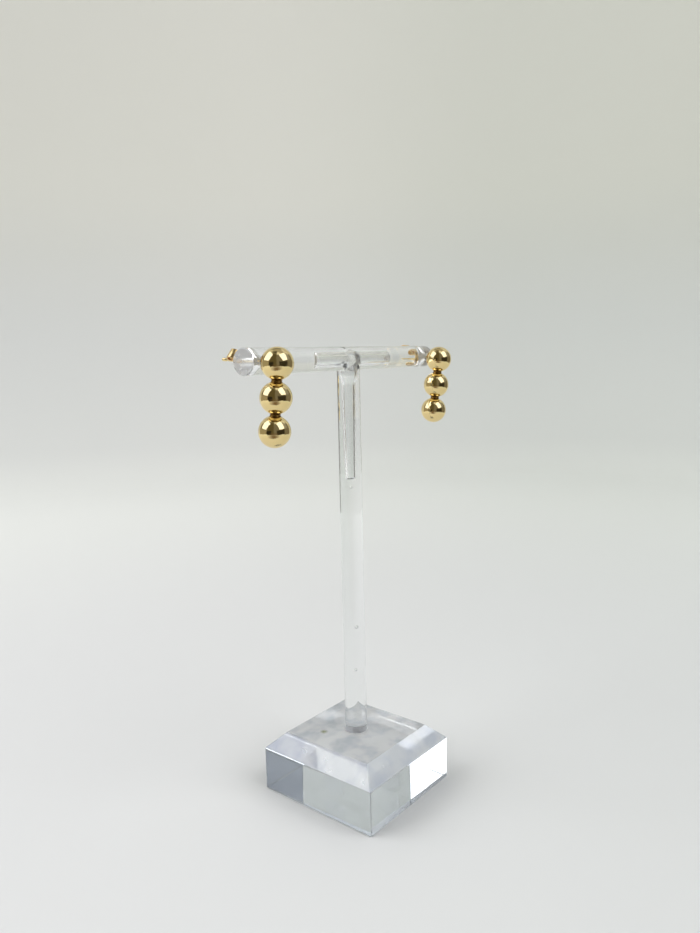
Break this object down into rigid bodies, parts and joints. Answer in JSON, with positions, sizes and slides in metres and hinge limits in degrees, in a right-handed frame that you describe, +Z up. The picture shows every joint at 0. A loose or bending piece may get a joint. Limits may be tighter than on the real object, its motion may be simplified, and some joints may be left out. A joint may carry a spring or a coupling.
{
  "type": "pair of ball-drop stud earrings on an earring display stand",
  "caption": "Ball-drop stud earrings in polished gold-coloured metal, held by ear pins and butterfly clutches in the crossbar of a clear acrylic T stand on a chamfered block.",
  "frame": {"origin": "middle of the base block's underside, on the table, below the post's axis", "axes": "+Z up along the post; the base's sides run along X and Y; the crossbar runs nearly along X, turned 4.6 degrees on the base; the balls hang on the -Y side and the pins' tips point to +Y"},
  "size_m": [0.0888, 0.0406, 0.1334],
  "materials": {
    "clear_acrylic": "polished",
    "polished_gold": "polished",
    "stamped_gold": "gloss"
  },
  "bodies": {
    "root": {"base_block": "clear_acrylic", "t_bar": "clear_acrylic", "left_ball_drop": "polished_gold", "left_clutch": "stamped_gold", "right_ball_drop": "polished_gold", "right_clutch": "stamped_gold"}
  },
  "joints": []
}
